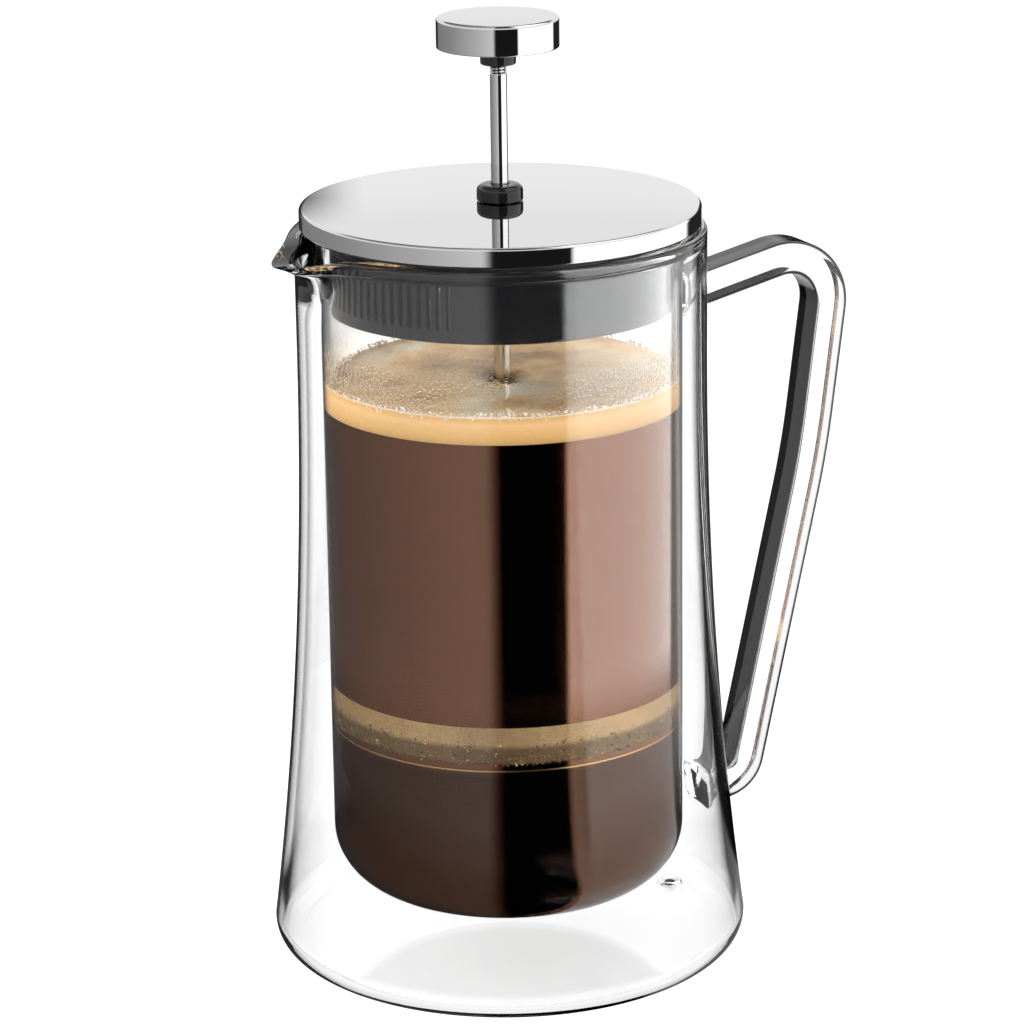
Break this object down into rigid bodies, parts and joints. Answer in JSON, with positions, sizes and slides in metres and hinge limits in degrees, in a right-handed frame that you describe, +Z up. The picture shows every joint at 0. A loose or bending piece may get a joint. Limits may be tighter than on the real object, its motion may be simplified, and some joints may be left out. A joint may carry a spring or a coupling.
{
  "type": "french press",
  "caption": "Double-wall glass french press with a spout, a glass strap handle, a steel lid with a black strainer insert, and a plunger with a mesh filter.",
  "frame": {"origin": "centre of the flat outer floor, on the table", "axes": "+Z up along the rod, +X towards the handle, the spout points along -X"},
  "size_m": [0.1657, 0.1286, 0.2536],
  "materials": {
    "clear_glass": "clear, smooth",
    "polished_steel": "polished",
    "plain_steel": "satin",
    "wire_mesh": "fine woven wire",
    "black_plastic": "glossy",
    "black_rubber": "matte",
    "brass": "machined"
  },
  "bodies": {
    "carafe": {"outer_vessel": "clear_glass", "inner_vessel": "clear_glass", "glass_handle": "clear_glass", "vent_plug": "black_rubber"},
    "seal": {"lid_seal": "black_rubber"},
    "lid": {"lid_cover": "polished_steel", "lid_insert": "black_plastic"},
    "bush": {"lid_bush": "black_plastic", "bush_washer": "plain_steel", "bush_nut": "plain_steel"},
    "plunger": {"knob_cap": "polished_steel", "knob_core": "black_plastic", "knob_insert": "brass", "plunger_rod": "polished_steel", "filter_hub": "plain_steel", "spring_plate": "plain_steel", "edge_spring": "plain_steel", "mesh_screen": "wire_mesh", "cross_plate": "plain_steel", "filter_nut": "plain_steel"}
  },
  "joints": [
    {"name": "lid_lift", "type": "slide", "parent": "carafe", "child": "seal", "axis": [0, 0, 1], "range_m": [0, 0.18]},
    {"name": "lid_turn", "type": "hinge", "parent": "seal", "child": "lid", "pos_m": [0, 0, 0.2], "axis": [0, 0, 1], "continuous": true},
    {"name": "rod_turn", "type": "hinge", "parent": "lid", "child": "bush", "pos_m": [0, 0, 0.205], "axis": [0, 0, 1], "continuous": true},
    {"name": "plunger_slide", "type": "slide", "parent": "bush", "child": "plunger", "axis": [0, 0, 1], "range_m": [-0.031, 0.1015]}
  ]
}
